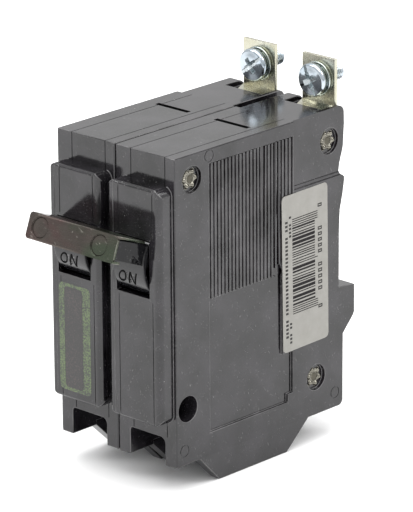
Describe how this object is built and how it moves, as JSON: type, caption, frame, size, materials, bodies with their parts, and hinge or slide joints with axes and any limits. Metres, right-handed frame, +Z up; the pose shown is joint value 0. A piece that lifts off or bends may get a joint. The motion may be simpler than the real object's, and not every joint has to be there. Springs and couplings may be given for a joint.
{
  "type": "two-pole bolt-on circuit breaker",
  "caption": "Two-pole moulded-case circuit breaker with tied toggle handles, bolt-on line tabs, clamped load-wire collars and wire-barrier flanges.",
  "frame": {"origin": "bottom centre of the object's box, with the handles on", "axes": "+X across the poles, +Y from the handles to the line-screw tips, +Z up"},
  "size_m": [0.0507, 0.107, 0.1249],
  "materials": {
    "phenolic": "moulded charcoal phenolic, satin to semi-gloss, fine dust specks",
    "handle_plastic": "moulded dark grey plastic, satin",
    "bronzed_steel": "dark bronze-oxide sheet steel with lighter worn edges",
    "plated_copper": "tin-zinc plated copper strap, pale yellowish, brushed",
    "zinc_steel": "bright zinc-plated steel",
    "rivet_steel": "crimped zinc rivet, slightly dull",
    "plain_steel": "plain stamped steel",
    "spring_steel": "drawn music wire",
    "silver_alloy": "sintered silver contact",
    "copper": "bare copper",
    "bimetal_strip": "rolled bimetal strip",
    "fibre": "vulcanised fibre sheet",
    "trip_bar_plastic": "red-brown moulded plastic",
    "label_paper": "off-white printed label, matte"
  },
  "bodies": {
    "root": {"left_cover": "phenolic", "left_base": "phenolic", "left_line_strap": "plated_copper", "left_fixed_contact": "silver_alloy", "left_cradle_pin": "plain_steel", "left_braid": "copper", "left_armature_pin": "plain_steel", "left_bimetal": "bimetal_strip", "left_magnet_yoke": "plain_steel", "left_load_strap": "copper", "left_load_lug": "zinc_steel", "left_arc_plates": "plain_steel", "left_arc_frame": "fibre", "left_calibration_screw": "plain_steel", "right_cover": "phenolic", "right_base": "phenolic", "right_line_strap": "plated_copper", "right_fixed_contact": "silver_alloy", "right_cradle_pin": "plain_steel", "right_braid": "copper", "right_armature_pin": "plain_steel", "right_bimetal": "bimetal_strip", "right_magnet_yoke": "plain_steel", "right_load_strap": "copper", "right_load_lug": "zinc_steel", "right_arc_plates": "plain_steel", "right_arc_frame": "fibre", "right_calibration_screw": "plain_steel", "case_rivets": "rivet_steel", "rating_label": "label_paper"},
    "handle": {"left_handle": "handle_plastic", "right_handle": "handle_plastic", "handle_tie": "bronzed_steel"},
    "trip_bar": {"trip_bar": "trip_bar_plastic"},
    "left_contact_arm": {"left_contact_arm": "copper", "left_moving_contact": "silver_alloy"},
    "left_cradle": {"left_cradle": "plain_steel", "left_toggle_spring": "spring_steel"},
    "left_armature": {"left_armature": "plain_steel"},
    "left_line_washers": {"left_line_lock_washer": "zinc_steel", "left_line_washer": "zinc_steel"},
    "left_line_screw": {"left_line_screw": "zinc_steel"},
    "left_load_clamp": {"left_load_clamp": "zinc_steel"},
    "left_load_screw": {"left_load_screw": "zinc_steel"},
    "right_contact_arm": {"right_contact_arm": "copper", "right_moving_contact": "silver_alloy"},
    "right_cradle": {"right_cradle": "plain_steel", "right_toggle_spring": "spring_steel"},
    "right_armature": {"right_armature": "plain_steel"},
    "right_line_washers": {"right_line_lock_washer": "zinc_steel", "right_line_washer": "zinc_steel"},
    "right_line_screw": {"right_line_screw": "zinc_steel"},
    "right_load_clamp": {"right_load_clamp": "zinc_steel"},
    "right_load_screw": {"right_load_screw": "zinc_steel"}
  },
  "joints": [
    {"name": "handle_toggle", "type": "hinge", "parent": "root", "child": "handle", "pos_m": [0, -0.02803, 0.0756], "axis": [1, 0, 0], "range_deg": [0, 41.4], "deforming": ["left_toggle_spring", "right_toggle_spring", "left_braid", "right_braid"]},
    {"name": "left_arm_pivot", "type": "hinge", "parent": "handle", "child": "left_contact_arm", "pos_m": [-0.0127, -0.01493, 0.07065], "axis": [1, 0, 0], "range_deg": [-80, 0]},
    {"name": "left_cradle_trip", "type": "hinge", "parent": "root", "child": "left_cradle", "pos_m": [-0.0127, -0.02852, 0.0546], "axis": [1, 0, 0], "range_deg": [-26, 0]},
    {"name": "left_armature_swing", "type": "hinge", "parent": "root", "child": "left_armature", "pos_m": [-0.0127, 0.02247, 0.0316], "axis": [1, 0, 0], "range_deg": [-5, 0]},
    {"name": "left_line_travel", "type": "slide", "parent": "root", "child": "left_line_washers", "axis": [0, 1, 0], "range_m": [-0.00317, 0]},
    {"name": "left_line_turn", "type": "hinge", "parent": "left_line_washers", "child": "left_line_screw", "pos_m": [-0.0097, 0.04347, 0.1176], "axis": [0, 1, 0], "range_deg": [-1440, 0]},
    {"name": "left_load_travel", "type": "slide", "parent": "root", "child": "left_load_clamp", "axis": [0, 1, 0], "range_m": [-0.00298, 0.00298]},
    {"name": "left_load_turn", "type": "hinge", "parent": "left_load_clamp", "child": "left_load_screw", "pos_m": [-0.0127, -0.01252, 0.0156], "axis": [0, 1, 0], "range_deg": [-1355, 1355]},
    {"name": "right_arm_pivot", "type": "hinge", "parent": "handle", "child": "right_contact_arm", "pos_m": [0.0127, -0.01493, 0.07065], "axis": [1, 0, 0], "range_deg": [-80, 0]},
    {"name": "right_cradle_trip", "type": "hinge", "parent": "root", "child": "right_cradle", "pos_m": [0.0127, -0.02852, 0.0546], "axis": [1, 0, 0], "range_deg": [-26, 0]},
    {"name": "right_armature_swing", "type": "hinge", "parent": "root", "child": "right_armature", "pos_m": [0.0127, 0.02247, 0.0316], "axis": [1, 0, 0], "range_deg": [-5, 0]},
    {"name": "right_line_travel", "type": "slide", "parent": "root", "child": "right_line_washers", "axis": [0, 1, 0], "range_m": [-0.00317, 0]},
    {"name": "right_line_turn", "type": "hinge", "parent": "right_line_washers", "child": "right_line_screw", "pos_m": [0.0157, 0.04347, 0.1176], "axis": [0, 1, 0], "range_deg": [-1440, 0]},
    {"name": "right_load_travel", "type": "slide", "parent": "root", "child": "right_load_clamp", "axis": [0, 1, 0], "range_m": [-0.00298, 0.00298]},
    {"name": "right_load_turn", "type": "hinge", "parent": "right_load_clamp", "child": "right_load_screw", "pos_m": [0.0127, -0.01252, 0.0156], "axis": [0, 1, 0], "range_deg": [-1355, 1355]},
    {"name": "trip_bar_turn", "type": "hinge", "parent": "root", "child": "trip_bar", "pos_m": [0, 0.01448, 0.0626], "axis": [1, 0, 0], "range_deg": [-16, 0]}
  ],
  "couplings": [
    {"joint": "left_arm_pivot", "follows": "handle_toggle", "ratio": -1.918},
    {"joint": "left_line_turn", "follows": "left_line_travel", "rad_per_m": 7913.3},
    {"joint": "left_load_turn", "follows": "left_load_travel", "rad_per_m": 7913.3},
    {"joint": "right_arm_pivot", "follows": "handle_toggle", "ratio": -1.918},
    {"joint": "right_line_turn", "follows": "right_line_travel", "rad_per_m": 7913.3},
    {"joint": "right_load_turn", "follows": "right_load_travel", "rad_per_m": 7913.3},
    {"joint": "right_cradle_trip", "follows": "left_cradle_trip", "ratio": 1},
    {"joint": "trip_bar_turn", "follows": "left_cradle_trip", "ratio": 0.6}
  ]
}
